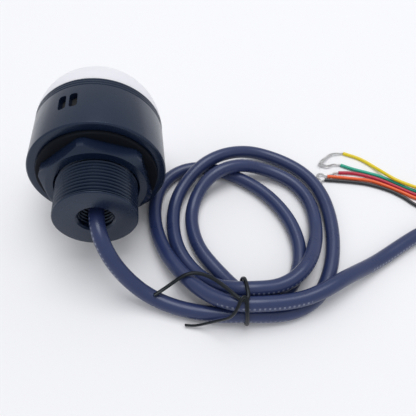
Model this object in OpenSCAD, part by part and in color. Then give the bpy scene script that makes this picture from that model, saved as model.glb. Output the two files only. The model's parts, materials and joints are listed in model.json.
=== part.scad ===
// Dome status light with a sounder, lying on its side with its cable loosely coiled and tied.
// It stands for one panel-mounted indicator: a threaded stem below a round body, a frosted
// dome on top, a lock nut with its gasket on the stem, and a five-core cable.
// The surface that it lies on is z = 0. The body's axis is level and runs along Y, the dome
// is at +Y and the stem is at -Y. Millimetres.

/* [Body] */
// Outer diameter of the body at its mounting face
body_d = 51.8; // [46:0.2:70]
// How much narrower the body is at its dome end, on the diameter
body_draft = 0.6; // [0:0.1:1]
// Height of the body from its mounting face to the dome
body_h = 25.5; // [21:0.5:40]
// Wall thickness of the body
body_wall = 2.2; // [1.6:0.1:3]
// Thickness of the body's floor
floor_t = 3; // [2:0.1:5]
// Depth of the three fine grooves below the dome
groove_depth = 0.35; // [0.2:0.05:0.6]
// Distance between those grooves
groove_pitch = 1.3; // [1:0.1:2]
// Width of a sound slot
slot_w = 3; // [2:0.1:4]
// Length of a sound slot along the axis
slot_h = 7.2; // [4:0.1:9]
// Distance between the two sound slots, around the body
slot_pitch = 4.35; // [3.8:0.05:6]

/* [Stem and nut] */
// Outside diameter of the stem's thread
stem_d = 30; // [26:0.5:34]
// Length of the stem below the mounting face
stem_len = 21.5; // [18:0.5:30]
// Pitch of the stem's thread
thread_pitch = 1.5; // [1.5:0.5:2]
// Depth of the stem's thread
thread_depth = 0.85; // [0.6:0.05:1]
// Diameter of the hole through the stem
hole_d = 12.5; // [10:0.5:15]
// Depth of the thread inside the stem's mouth
hole_thread_len = 9; // [6:0.5:12]
// Across flats of the lock nut
nut_af = 37.5; // [34:0.5:42]
// Diameter that the nut's corners are turned down to
nut_corner_d = 42; // [38:0.5:45]
// Thickness of the lock nut
nut_h = 5.5; // [4:0.5:8]
// Outer diameter of the gasket
gasket_d = 45; // [40:0.5:46]
// Thickness of the gasket
gasket_t = 1.8; // [1:0.1:3]
// How deep the gasket sits in the mounting face
gasket_recess = 0.3; // [0.2:0.1:0.8]

/* [Dome] */
// How far the dome's edge stands in from the body's
dome_step = 0.1; // [0:0.05:0.5]
// Wall thickness of the dome
dome_wall = 1.8; // [1.2:0.1:2.5]
// Length of the dome's spigot inside the body
spigot_len = 4.5; // [3.5:0.1:6]
// Thickness of the seal ring's section
seal_d = 1.2; // [1:0.1:1.6]

/* [Electronics] */
// Thickness of both boards
board_t = 1.6; // [1:0.1:2]
// Height of the driver board's underside above the mounting face
driver_a = 11; // [10:0.5:13]
// Distance between the two boards
board_gap = 12.5; // [11:0.5:16]
// Circle on which the boards' screws lie, as a radius
screw_r = 17.5; // [16:0.5:18.5]
// Diameter of the boards' screws
screw_d = 2.5; // [2:0.1:3]
// Diameter of the buzzer
buzzer_d = 12; // [9:0.5:13]
// Height of the buzzer
buzzer_h = 7.5; // [4:0.5:9]
// Lamps of each colour
lamps_per_colour = 4; // [2:1:5]

/* [Cable] */
// Diameter of the cable's jacket
cable_d = 5.6; // [4.8:0.1:5.7]
// Diameter of one core
core_d = 1.7; // [1.4:0.1:1.8]
// Length of each tinned end
tip_len = 5; // [3:0.5:8]
// Length of the clamp that holds the cable in the stem
clamp_len = 6; // [4:0.5:8]
// Thickness of the wire tie
tie_d = 1.2; // [1:0.1:1.3]

/* [Fits] */
// Radial gap between the nut's bore and the stem's thread
thread_gap = 0.25; // [0.15:0.05:0.4]
// Radial gap between the gasket's bore and the stem's thread
gasket_gap = 0.4; // [0.3:0.05:0.8]
// Radial gap between the spigot and the body's wall
spigot_gap = 0.3; // [0.2:0.05:0.5]
// Radial gap between the boards and what is round them
board_edge_gap = 1.2; // [0.6:0.1:2]
// Gap left round a screw in the holes of both boards
screw_gap = 0.15; // [0.1:0.05:0.3]

/* [Hidden] */
$fn = 72;
eps = 0.01;

// Heights along the axis are called a and start at the mounting face, positive to the dome.
body_r = body_d / 2;
top_r = body_r - body_draft / 2;
dome_r = top_r - dome_step;
bore_r = top_r - body_wall;
stem_r = stem_d / 2;
hole_r = hole_d / 2;
cable_r = cable_d / 2;
axis_z = body_r;
axis_mid = (body_h + dome_r - stem_len) / 2;
face_y = -axis_mid;
nut_a = gasket_recess - gasket_t;
nut_end_a = nut_a - nut_h;
free_thread_a = nut_end_a - 0.9;

// Thread rings: wide mouths under the seated nut, narrow ones on the free length.
mouth_under_nut = 0.65;
mouth_free = 0.45;
rim_chamfer = 0.5;

// Electronics, stacked up from the floor.
driver_r = bore_r - board_edge_gap;
driver_top = driver_a + board_t;
led_a = driver_top + board_gap;
led_top = led_a + board_t;
dome_inner_r = dome_r - dome_wall;
led_edge_room = 1.2;
led_r = dome_inner_r - spigot_gap - board_edge_gap - led_edge_room;
post_r = 3;
post_screw_len = 5;
standoff_af = 5;
standoff_screw_len = 4;
screw_head_h = 1.8;
screw_head_r = 2.2;
screw_angles = [75, 195, 315];
lamp_size = [3.5, 2.8, 1.9];
lamp_ring_r = 8.5;
reflector_t = 1;
reflector_h = 6;
reflector_foot_r = lamp_ring_r + 3.2;
slot_a = 13.65;
slot_mid_angle = 14.5;
slot_step = slot_pitch / top_r * 180 / PI;
slot_corner = 1.1;
buzzer_r = buzzer_d / 2;
buzzer_edge_room = 1.2;
buzzer_at = bore_r - board_edge_gap - buzzer_r - buzzer_edge_room;
buzzer_port_r = 1.1;
screen_t = 0.6;
capacitor_size = [3.15, 7.7];
capacitor_angles = [105, 160];
capacitor_at = 11;
chip_side = 7;
chip_h = 1.2;
header_size = [10.6, 2.54];
header_angle = 15;
header_at = 7.5;
terminal_size = [13, 5.5, 4];
terminal_at = 6;
corner_angle = 5;

// Cable: the clamp sits above the thread in the stem's mouth, and the seal sits above that.
clamp_a = -stem_len + hole_thread_len;
seal_a = clamp_a + clamp_len;
seal_len = floor_t - seal_a;
jacket_end_a = floor_t + 1.5;
lead_start_y = face_y + clamp_a;
lead_d = 1.3;
lead_ring_r = 1.6;
lead_pitch = 2.4;
lead_a = driver_a - terminal_size[2] / 2;
lead_shades = ["#e8c21c", "#1b8f6a", "#b3242c", "#e2701f", "#202124"];
clamp_slit = 0.8;

// The cable's route, laid by hand on z = 0, from the clamp in the stem to the jacket's end.
lead_route = [[0, lead_start_y, axis_z], [0, -30, axis_z], [0.2, -36, axis_z - 0.2],
    [0.8, -40.3, axis_z - 1], [1.8, -43.8, 23.4], [2.9, -46.3, 21.2], [4.2, -48.4, 18.6],
    [5.8, -50.2, 15.8], [7.6, -51.8, 12.9], [9.7, -53.3, 10.1], [12, -54.9, 7.9],
    [14.2, -56.3, 6.1], [16.7, -57.7, 4.8], [19.7, -59.3, 3.9], [23.1, -61, 3.3],
    [26.7, -62.5, 3], [30.3, -63.8, 2.9], [34.1, -65, 2.9], [38.2, -66.1, 3.1],
    [44, -67.4, 3.6], [50, -68.2, 4.2]];
turn_1_route = [[50, -68.2, 4.2], [57, -68.9, 3.6], [64, -68.9, 2.9], [70.5, -67.6, 2.8],
    [76, -64.9, 2.8], [80.5, -61, 2.8], [84, -55.8, 2.8], [87.6, -48.6, 2.8],
    [90.6, -39.6, 2.8], [92.4, -30, 2.8], [92.8, -20, 2.8], [91.2, -10.8, 2.8],
    [87.4, -2.6, 2.8], [81.4, 4.2, 2.8], [73.6, 9, 3.6], [65, 11, 5.4], [56, 9.4, 7.6],
    [48.6, 6.4, 8.6], [42, 2.6, 8.3], [36, -2.2, 6.2], [31, -8, 4], [28, -15, 2.9],
    [26.7, -23, 2.8], [26.8, -31, 2.8], [28.4, -38.6, 2.8], [31.8, -45.8, 2.8],
    [36.2, -52, 3.8], [40.4, -56.4, 5.6], [44.8, -59.2, 8.2], [50, -61.2, 10.1]];
turn_2_route = [[50, -61.2, 10.1], [54, -61.3, 10], [58, -61.4, 9.4], [62, -61, 8.9],
    [66, -59.9, 8.7], [70.4, -57.6, 8.6], [74.6, -54, 8.6], [78.6, -48.6, 7.2],
    [82, -42, 5.2], [84.6, -35, 3.4], [86, -27.6, 2.8], [86, -20, 2.8], [84, -12.6, 2.8],
    [80, -6.4, 3], [74, -2, 3.8], [67, 0.4, 5.4], [60, 0.8, 7.6], [53.4, -0.6, 8.7],
    [47.4, -3, 8.4], [42, -6.6, 6.6], [38, -11.6, 4.4], [35.4, -17.6, 3], [34.4, -24.4, 2.8],
    [34.8, -31.4, 2.8], [36.6, -38.4, 2.8], [40, -45, 2.8],
    [43.5, -50.6, 2.8], [47, -56.2, 3.5], [50, -59.7, 4.2]];
turn_3_route = [[50, -59.7, 4.2], [54.6, -62.2, 4], [59, -62.9, 3.3],
    [62.8, -62.3, 2.8], [66.4, -60.4, 2.8], [69.8, -57.2, 2.8], [72.8, -52.6, 2.8],
    [75, -47, 2.8], [76.2, -40.6, 2.8], [76, -33.4, 2.8], [74.6, -26.4, 2.8], [71.6, -19, 2.8],
    [67.2, -11.8, 2.8], [61.4, -5.4, 2.8], [54.8, -0.2, 2.8], [48, 3.8, 2.8], [41, 6, 2.8],
    [34, 5.6, 2.8], [27.6, 2.2, 2.8], [22.8, -3.6, 2.8], [20.2, -10.8, 2.8],
    [19.2, -18.4, 2.8], [19.6, -26, 3.2], [21, -33.4, 4.2], [23.4, -40.8, 5.4],
    [26.8, -47.6, 6.2], [31, -53.8, 6.9], [35.6, -59.2, 7.8], [40, -62.8, 8.6],
    [44.6, -65.4, 9.5], [50, -67, 10]];
tail_route = [[50, -67, 10], [55, -67.3, 9.9], [60, -67.4, 9.3], [65, -67.2, 8.9],
    [70, -66.6, 8.6], [75, -65.4, 8.6], [80, -63.6, 8.6], [85, -61.2, 8.2], [90, -58.7, 7],
    [95, -56.3, 5.4], [100, -54, 4], [105.5, -51.4, 3], [111, -48.6, 2.8],
    [117, -45.6, 2.8], [125, -41.8, 2.8], [134, -38.6, 2.8], [144, -36.6, 2.8],
    [154, -35.6, 2.8], [165, -35.2, 2.8], [172.9, -33.1, 2.8], [178.7, -27.3, 2.8],
    [180.8, -19.4, 2.8], [178.7, -11.5, 2.8], [172.9, -5.7, 2.8], [165, -3.6, 2.8],
    [157.1, -5.7, 2.8], [151, -12, 2.8]];

// The five cores, from the jacket's end to their tinned ends.
yellow_route = [[151, -12, 4.5], [149.4, -15.2, 4], [146.6, -18, 3.4], [142.6, -19.2, 2.8],
    [136.4, -17, 2.6], [129.4, -12, 2.6], [126.2, -8.6, 2.6], [122.6, -1.6, 1.2],
    [117.6, 4.8, 0.9], [110.8, 9.4, 0.9]];
green_route = [[149.5, -11.2, 3.3], [147.6, -14.6, 2], [145, -18.2, 1.1], [141.6, -19.2, 0.9],
    [136, -17.4, 0.9], [132, -14.6, 0.9], [128.2, -11.2, 0.9], [123.4, -7.2, 0.9],
    [117.6, -4, 0.9], [111.8, -1, 0.9], [107.3, 2, 0.9]];
red_route = [[150.1, -11.5, 1.4], [148.8, -15.4, 1], [147, -19.4, 0.9], [143, -21.6, 0.9],
    [138.6, -21.2, 0.9], [134.4, -19, 0.9], [128, -13.7, 0.9], [122.8, -9.4, 0.9],
    [117, -6, 0.9], [111, -3.6, 0.9], [104.8, -2.6, 0.9]];
orange_route = [[151.9, -12.5, 1.4], [151, -16.4, 1], [148.6, -21, 0.9], [144, -23.6, 0.9],
    [138.4, -23.2, 0.9], [134, -21.2, 0.9], [129.4, -17.3, 0.9], [123.4, -12.6, 0.9],
    [117.4, -9, 0.9], [109.6, -6.8, 0.9], [99, -4.2, 0.9]];
black_route = [[152.5, -12.8, 3.3], [152.4, -17.4, 2], [150.4, -22.6, 1.1], [146, -26.4, 0.9],
    [140.4, -27.8, 0.9], [135, -26.8, 0.9], [132.2, -24.6, 0.9], [129, -20.2, 0.9],
    [124.2, -15.7, 0.9], [116.8, -11.4, 0.9], [109.2, -8.9, 0.9], [97.2, -6.2, 0.9]];
core_routes = [yellow_route, green_route, red_route, orange_route, black_route];

// The wire tie: a ring round the four strands, and two free ends.
tie_x = 50;
tie_loop = [[-71.3, 1.25], [-53.7, 13.4]];
tie_corner = 3.5;
tie_ring_step = 5;
tip_step = 0.5;
tie_tail_a = [[49.6, -66, 13.8], [46.4, -63.6, 13.2], [43.6, -60.2, 12.4], [40.2, -56.4, 11.4],
    [36.6, -53.8, 10.8], [33, -52.8, 10.6], [29.6, -53.2, 10.5], [26, -54.6, 9.2],
    [22, -56.6, 8.2], [18, -59, 8.3]];
tie_tail_b = [[49.6, -71.9, 7.5], [47, -72, 6], [43, -71.6, 3.8], [38.5, -70.6, 2],
    [33.4, -69.4, 0.8], [28, -68.6, 0.7]];

// Sweeping a round section along a route.
cable_ring_step = 12;
cable_sides = 10;
core_ring_step = 7;
core_sides = 8;

function catmull(p0, p1, p2, p3, t) =
    0.5 * (2 * p1 + (p2 - p0) * t + (2 * p0 - 5 * p1 + 4 * p2 - p3) * t * t
    + (3 * p1 - p0 - 3 * p2 + p3) * t * t * t);
function point_at(route, i) = route[max(0, min(len(route) - 1, i))];
function on_route(route, i, t) = catmull(point_at(route, i - 1), point_at(route, i),
    point_at(route, i + 1), point_at(route, i + 2), t);
function fine(route, cuts = 6) = concat(
    [for (i = [0 : len(route) - 2]) for (k = [0 : cuts - 1]) on_route(route, i, k / cuts)],
    [route[len(route) - 1]]);
function run_up(p, i = 0, so_far = 0, out = []) = i >= len(p) ? out
    : run_up(p, i + 1, so_far + (i + 1 < len(p) ? norm(p[i + 1] - p[i]) : 0),
        concat(out, [so_far]));
function even(p, s, n) = [for (k = [0 : n]) let (want = s[len(s) - 1] * k / n)
    k == n ? p[len(p) - 1] : let (i = max([for (j = [0 : len(s) - 2]) s[j] <= want ? j : 0]))
    p[i] + (p[i + 1] - p[i]) * (want - s[i]) / max(s[i + 1] - s[i], eps)];
function spaced(route, step) = let (p = fine(route), s = run_up(p))
    even(p, s, max(2, round(s[len(s) - 1] / step)));
function unit(v) = v / max(norm(v), eps);
function heading(p, i) = unit(p[min(i + 1, len(p) - 1)] - p[max(i - 1, 0)]);
function side_of(h) = unit(cross(abs(h[2]) > 0.9 ? [1, 0, 0] : [0, 0, 1], h));

// A tube with flat ends along the points p. Each ring has the same number of sides.
module tube(p, d, sides) {
    n = len(p);
    points = [for (i = [0 : n - 1]) let (h = heading(p, i), u = side_of(h), v = cross(h, u))
        for (k = [0 : sides - 1]) let (t = 360 * (k + 0.5) / sides)
        p[i] + d / 2 * (cos(t) * u + sin(t) * v)];
    walls = [for (i = [0 : n - 2]) for (k = [0 : sides - 1])
        let (j = (k + 1) % sides, low = i * sides, high = low + sides)
        each [[high + j, low + j, low + k], [high + k, high + j, low + k]]];
    first_end = [for (k = [0 : sides - 1]) k];
    last_end = [for (k = [0 : sides - 1]) n * sides - 1 - k];
    polyhedron(points = points, faces = concat(walls, [first_end, last_end]), convexity = 10);
}

module cable(route) color("#3c4a78") tube(spaced(route, cable_ring_step), cable_d, cable_sides);
module core(route) tube(spaced(route, core_ring_step), core_d, core_sides);

// Places its children on the axis, with their own Z along it and their zero at height a.
module along(a = 0) translate([0, face_y + a, axis_z]) rotate([-90, 0, 0]) children();
module ring(r_out, r_in, h) difference() {
    cylinder(r = r_out, h = h);
    translate([0, 0, -1]) cylinder(r = r_in, h = h + 2);
}
// Turns its children to an angle round the axis, 0 at the top and positive to -X.
module around(angle) rotate([0, 0, -90 - angle]) children();
module at_screws() for (t = screw_angles)
    rotate([0, 0, t]) translate([screw_r, 0, 0]) children();

// One V groove cut round a shaft of radius r, with its mouth centred on height a.
module v_ring(r, a, mouth, depth) rotate_extrude()
    polygon([[r + eps, a - mouth / 2], [r - depth, a], [r + eps, a + mouth / 2]]);
module v_ring_in(r, a, mouth, depth) rotate_extrude()
    polygon([[r - eps, a - mouth / 2], [r + depth, a], [r - eps, a + mouth / 2]]);

module sound_slot() translate([0, 0, slot_a]) rotate([0, 90, 0]) linear_extrude(body_r + 5)
    hull() for (x = [-1, 1], y = [-1, 1])
        translate([x * (slot_h / 2 - slot_corner), y * (slot_w / 2 - slot_corner)])
            circle(r = slot_corner, $fn = 32);
module at_slots() for (k = [-1, 1]) around(slot_mid_angle + k * slot_step / 2) children();

module housing() color("#2b2f38") along() difference() {
    union() {
        rotate_extrude() polygon([[0, 0], [body_r - rim_chamfer, 0], [body_r, rim_chamfer],
            [top_r, body_h], [0, body_h]]);
        translate([0, 0, -stem_len + rim_chamfer])
            cylinder(r = stem_r, h = stem_len - rim_chamfer + 1);
        translate([0, 0, -stem_len])
            cylinder(r1 = stem_r - rim_chamfer, r2 = stem_r, h = rim_chamfer);
    }
    // the room inside, with three screw posts left standing in it
    difference() {
        translate([0, 0, floor_t]) cylinder(r = bore_r, h = body_h);
        at_screws() translate([0, 0, -eps]) cylinder(r = post_r, h = driver_a + eps);
    }
    at_screws() translate([0, 0, floor_t]) cylinder(d = screw_d, h = driver_a, $fn = 24);
    // the recess for the gasket, round the stem
    translate([0, 0, -1]) ring(gasket_d / 2 + 0.2, stem_r, 1 + gasket_recess);
    // the hole through the stem, its thread, and the seat for the clamp and the seal
    translate([0, 0, -stem_len - 1]) cylinder(r = hole_r, h = stem_len + floor_t + 2);
    for (a = [-stem_len + 1 : thread_pitch : clamp_a - 0.6])
        v_ring_in(hole_r, a, 0.9, 0.6);
    // the outer thread
    for (a = [-0.8 : -thread_pitch : nut_end_a + 0.2])
        v_ring(stem_r, a, mouth_under_nut, thread_depth);
    v_ring(stem_r, free_thread_a, mouth_under_nut, thread_depth);
    for (a = [free_thread_a - thread_pitch : -thread_pitch : -stem_len + rim_chamfer + 0.5])
        v_ring(stem_r, a, mouth_free, thread_depth);
    // the grooves below the dome
    for (k = [0 : 2])
        v_ring(top_r + 0.06, body_h - 0.9 - k * groove_pitch, 0.5, groove_depth);
    at_slots() sound_slot();
}

module dome_lens() color("#e9eaee") along(body_h) difference() {
    union() {
        intersection() {
            sphere(r = dome_r, $fn = 96);
            cylinder(r = dome_r + 1, h = dome_r + 1);
        }
        translate([0, 0, -spigot_len]) cylinder(r = bore_r - spigot_gap, h = spigot_len + 0.5);
    }
    sphere(r = dome_inner_r, $fn = 96);
    translate([0, 0, -spigot_len - 1]) cylinder(r = dome_inner_r - 1.6, h = spigot_len + 1);
    translate([0, 0, -spigot_len / 2 - seal_d / 2])
        ring(bore_r + 1, bore_r - spigot_gap - seal_d + 0.3, seal_d);
}

module dome_seal() color("#3a3a3c") along(body_h - spigot_len / 2)
    rotate_extrude() translate([bore_r - spigot_gap - seal_d / 2 + 0.25, 0])
        circle(d = seal_d - 0.1, $fn = 24);

module lamps(first) along(led_top)
    for (k = [0 : lamps_per_colour - 1])
        rotate([0, 0, (3 * k + first) * 360 / (3 * lamps_per_colour)])
            translate([lamp_ring_r, 0, lamp_size[2] / 2]) cube(lamp_size, center = true);
module leds_red() color("#d7352f") lamps(0);
module leds_yellow() color("#e6c22b") lamps(1);
module leds_green() color("#34a457") lamps(2);

module reflector() color("#f2f2ef") along(led_top) difference() {
    cylinder(r1 = reflector_foot_r, r2 = led_r, h = reflector_h);
    translate([0, 0, -eps]) cylinder(r1 = reflector_foot_r - reflector_t,
        r2 = led_r - reflector_t, h = reflector_h + 2 * eps);
    at_screws() translate([0, 0, -1]) cylinder(r = screw_head_r + 0.6, h = reflector_h + 2);
}

module board(r) difference() {
    cylinder(r = r, h = board_t);
    at_screws() translate([0, 0, -1])
        cylinder(d = screw_d + 2 * screw_gap, h = board_t + 2, $fn = 24);
}
module led_board() color("#e6e8e4") along(led_a) board(led_r);
module driver_board() color("#1f5a3c") along(driver_a) board(driver_r);

// A pan-head screw whose head sits at zero and whose shank goes down from it.
module screw(shank) {
    cylinder(r = screw_head_r, h = screw_head_h, $fn = 32);
    translate([0, 0, -shank]) cylinder(d = screw_d - 0.1, h = shank, $fn = 24);
}
module led_screws() color("#b9bcc0") along(led_top) at_screws()
    screw(board_t + standoff_screw_len);
module board_screws() color("#b9bcc0") along(driver_top) at_screws()
    screw(board_t + post_screw_len);

// Six-sided spacers. Each stands on a board screw's head and takes a lamp board's screw.
module standoffs() color("#d9d4c4") along(driver_top + screw_head_h) at_screws() {
    height = board_gap - screw_head_h;
    difference() {
        rotate([0, 0, 30]) cylinder(d = standoff_af / cos(30), h = height, $fn = 6);
        translate([0, 0, height - standoff_screw_len - 1])
            cylinder(d = screw_d, h = standoff_screw_len + 2, $fn = 24);
    }
}

module buzzer() color("#17181a") along(driver_top) around(slot_mid_angle)
    translate([buzzer_at, 0, 0]) difference() {
        cylinder(r = buzzer_r, h = buzzer_h);
        translate([0, 0, buzzer_h - 0.8]) cylinder(r = buzzer_port_r, h = 2, $fn = 24);
    }

module vent_screen() color("#141518") along(slot_a - slot_h / 2 - 1) intersection() {
    ring(bore_r, bore_r - screen_t, slot_h + 2);
    around(slot_mid_angle) translate([0, -slot_pitch / 2 - slot_w / 2 - 1, -1])
        cube([bore_r + 1, slot_pitch + slot_w + 2, slot_h + 4]);
}

module capacitors() color("#5a6472") along(driver_top) for (t = capacitor_angles)
    rotate([0, 0, t]) translate([capacitor_at, 0, 0])
        cylinder(r = capacitor_size[0], h = capacitor_size[1], $fn = 48);
module controller_chip() color("#202225") along(driver_top) rotate([0, 0, 225])
    translate([3.2, 0, chip_h / 2]) cube([chip_side, chip_side, chip_h], center = true);
module board_header() color("#26282b") along(driver_top) rotate([0, 0, header_angle])
    translate([header_at, -header_size[1] / 2, 0])
        cube([header_size[0], header_size[1], board_gap]);

// The terminal hangs below the driver board; the leads end in its open side.
module wire_terminal() color("#3b7a4a") along(driver_a - terminal_size[2])
    translate([-terminal_size[0] / 2, terminal_at, 0]) cube(terminal_size);

// The five leads leave the jacket in a ring and spread into a row. They are numbered across.
lead_ring_angles = [162, 234, 90, 306, 18];
function lead_points(k) = let (x = (k - 2) * lead_pitch,
    start = lead_ring_r * [cos(lead_ring_angles[k]), sin(lead_ring_angles[k])],
    half = start * 0.7 + [x * 0.65, terminal_at * 0.35])
    [[start[0], start[1], jacket_end_a], [start[0] * 1.1, start[1] * 1.1, jacket_end_a + 1.5],
    [half[0], half[1], lead_a], [x, terminal_at - 1.2, lead_a], [x, terminal_at, lead_a]];
module inner_leads() along() for (k = [0 : len(lead_ring_angles) - 1])
    color(lead_shades[k]) tube(fine(lead_points(k), 2), lead_d, core_sides);

module cable_clamp() color("#1c1d20") along(clamp_a) difference() {
    ring(hole_r, cable_r, clamp_len);
    translate([cable_r - 1, -clamp_slit / 2, -1]) cube([hole_r, clamp_slit, clamp_len + 2]);
}
module cable_seal() color("#2f3033") along(seal_a) ring(hole_r, cable_r, seal_len);
module cable_inner() color("#3c4a78") along(clamp_a)
    cylinder(r = cable_r, h = jacket_end_a - clamp_a);

module gasket() color("#1d1e21") along(nut_a)
    ring(gasket_d / 2, stem_r + gasket_gap, gasket_t);

module lock_nut() color("#2b2f38") along(nut_end_a) around(corner_angle) difference() {
    intersection() {
        cylinder(d = nut_af / cos(30), h = nut_h, $fn = 6);
        cylinder(d = nut_corner_d, h = nut_h);
        cylinder(r1 = nut_af / 2, r2 = nut_af / 2 + nut_h / tan(30), h = nut_h);
    }
    translate([0, 0, -1]) cylinder(r = stem_r + thread_gap, h = nut_h + 2);
}

module cable_lead() cable(lead_route);
module cable_turn_1() cable(turn_1_route);
module cable_turn_2() cable(turn_2_route);
module cable_turn_3() cable(turn_3_route);
module cable_tail() cable(tail_route);

module core_yellow() color("#e8c21c") core(yellow_route);
module core_green() color("#1b8f6a") core(green_route);
module core_red() color("#b3242c") core(red_route);
module core_orange() color("#e2701f") core(orange_route);
module core_black() color("#202124") core(black_route);

// The tinned ends go straight on from the cores.
module core_tips() color("#b8bcc2") for (r = core_routes) {
    last = r[len(r) - 1];
    ahead = unit(last - r[len(r) - 2]) * tip_len;
    tube([last, last + ahead / 2, last + ahead], core_d - tip_step, core_sides);
}

module twist_tie() color("#1c1e22") {
    size = tie_loop[1] - tie_loop[0];
    translate([tie_x - tie_d / 2, 0, 0]) rotate([90, 0, 90]) linear_extrude(tie_d) difference() {
        translate(tie_loop[0]) offset(r = tie_d) rounded(size, tie_corner);
        translate(tie_loop[0]) rounded(size, tie_corner);
    }
    tube(spaced(tie_tail_a, tie_ring_step), tie_d, core_sides);
    tube(spaced(tie_tail_b, tie_ring_step), tie_d, core_sides);
}
module rounded(size, r) translate([r, r]) offset(r = r)
    square([size[0] - 2 * r, size[1] - 2 * r]);

housing();
dome_lens();
dome_seal();
reflector();
led_board();
leds_red();
leds_yellow();
leds_green();
led_screws();
standoffs();
driver_board();
board_screws();
buzzer();
vent_screen();
capacitors();
controller_chip();
board_header();
wire_terminal();
inner_leads();
cable_clamp();
cable_seal();
cable_inner();
gasket();
lock_nut();
cable_lead();
cable_turn_1();
cable_turn_2();
cable_turn_3();
cable_tail();
core_yellow();
core_green();
core_red();
core_orange();
core_black();
core_tips();
twist_tie();
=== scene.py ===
# Dome status light with a sounder and a coiled five-core cable, in metres, in the frame's axes.
# The light lies on its side on z = 0. Its axis runs along Y, with the dome at +Y.

import json
import random
from math import atan2, cos, pi, radians, sin, tan

import bmesh
import bpy
from bpy.props import FloatProperty, FloatVectorProperty, IntProperty, PointerProperty
from mathutils import Matrix, Vector


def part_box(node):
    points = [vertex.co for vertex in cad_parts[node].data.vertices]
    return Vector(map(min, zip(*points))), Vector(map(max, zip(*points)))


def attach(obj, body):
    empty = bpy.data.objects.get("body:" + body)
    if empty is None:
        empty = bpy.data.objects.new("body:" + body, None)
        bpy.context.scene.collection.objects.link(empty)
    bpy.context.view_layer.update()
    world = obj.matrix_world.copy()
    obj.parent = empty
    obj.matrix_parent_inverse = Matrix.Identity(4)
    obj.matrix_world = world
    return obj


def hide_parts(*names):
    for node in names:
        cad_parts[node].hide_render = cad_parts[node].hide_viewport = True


bl_info = {
    "name": "Dome Status Light",
    "version": (1, 0, 0),
    "blender": (4, 5, 0),
    "location": "3D View > Sidebar > Status Light",
    "description": "Builds a panel status light with its nut, gasket, cable and bare cores",
    "category": "Mesh",
}

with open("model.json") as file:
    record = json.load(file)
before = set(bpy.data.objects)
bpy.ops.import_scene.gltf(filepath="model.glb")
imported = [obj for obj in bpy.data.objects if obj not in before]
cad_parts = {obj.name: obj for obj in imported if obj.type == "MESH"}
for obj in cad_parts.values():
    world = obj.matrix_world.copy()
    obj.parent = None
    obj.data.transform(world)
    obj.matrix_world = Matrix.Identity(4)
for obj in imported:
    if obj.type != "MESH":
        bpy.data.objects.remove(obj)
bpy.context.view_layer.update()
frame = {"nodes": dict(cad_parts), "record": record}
MM = 0.001

# Places that come from the frame.
housing_low, housing_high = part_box("housing")
dome_low, dome_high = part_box("dome_lens")
nut_low, nut_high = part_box("lock_nut")
gasket_low, gasket_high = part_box("gasket")
screen_low, screen_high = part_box("vent_screen")
mounts = {m["name"]: m for m in frame["record"]["mounts"]}
BODY_R = (housing_high.x - housing_low.x) / 2
AXIS_Z = (housing_high.z + housing_low.z) / 2
FACE_Y = mounts["seat_face"]["pos_m"][1]
BODY_H = housing_high.y - FACE_Y
STEM_LEN = FACE_Y - housing_low.y
STEM_R = mounts["panel_stem"]["dims"]["r_mm"] * MM
DOME_R = dome_high.y - housing_high.y
GASKET_R = (gasket_high.x - gasket_low.x) / 2
NUT_R = (nut_high.z - nut_low.z) / 2
SLOT_A = (screen_low.y + screen_high.y) / 2 - FACE_Y

# How deep the hollow is in a cut end of the jacket or of a core.
MOUTH_DEPTH = 0.6 * MM


def linear(hex_colour):
    """A colour written as sRGB hex, as linear red, green and blue."""
    parts = [int(hex_colour[i : i + 2], 16) / 255 for i in (1, 3, 5)]
    return [c / 12.92 if c <= 0.04045 else ((c + 0.055) / 1.055) ** 2.4 for c in parts]


def length(name, description, default):
    """A size in metres as a property of a panel."""
    return FloatProperty(name=name, description=description, default=default, unit="LENGTH")


def shade(name, description, hex_colour):
    """A colour as a property of a panel."""
    return FloatVectorProperty(
        name=name, description=description, default=linear(hex_colour), subtype="COLOR"
    )


class LightSizes(bpy.types.PropertyGroup):
    draft: length("Draft", "How much smaller the body's radius is at the dome", 0.3 * MM)
    wall: length("Wall", "Wall of the body", 2.2 * MM)
    floor: length("Floor", "Thickness of the body's floor", 3 * MM)
    rim: length("Rim", "Chamfer round the body's mounting face", 0.5 * MM)
    groove_depth: length("Groove depth", "Depth of the fine grooves", 0.45 * MM)
    groove_pitch: length("Groove pitch", "Distance between the fine grooves", 1.3 * MM)
    slot_width: length("Slot width", "Width of a sound slot", 3 * MM)
    slot_height: length("Slot height", "Length of a sound slot along the axis", 7.2 * MM)
    slot_pitch: length("Slot pitch", "Distance between the slots round the body", 4.35 * MM)
    slot_turn: FloatProperty(
        name="Slot turn",
        description="Angle of the middle between the slots from the top, towards -X",
        default=radians(14.5),
        subtype="ANGLE",
    )
    pitch: length("Thread pitch", "Pitch of the stem's thread", 1.5 * MM)
    depth: length("Thread depth", "Depth of the stem's thread", 0.92 * MM)
    hole: length("Hole", "Radius of the hole through the stem", 6.25 * MM)
    hole_thread: length("Hole thread", "Depth of the thread inside the stem", 9 * MM)
    nut_flats: length("Nut flats", "Distance across the nut's flats", 37.5 * MM)
    nut_corner: FloatProperty(
        name="Nut corner",
        description="Angle of a corner of the nut from the top, towards -X",
        default=radians(5),
        subtype="ANGLE",
    )
    dome_wall: length("Dome wall", "Wall of the dome", 1.8 * MM)
    spigot: length("Spigot", "Length of the dome's spigot inside the body", 4.5 * MM)
    steps: IntProperty(name="Steps", description="Sides of a turned shape", default=144)


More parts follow.
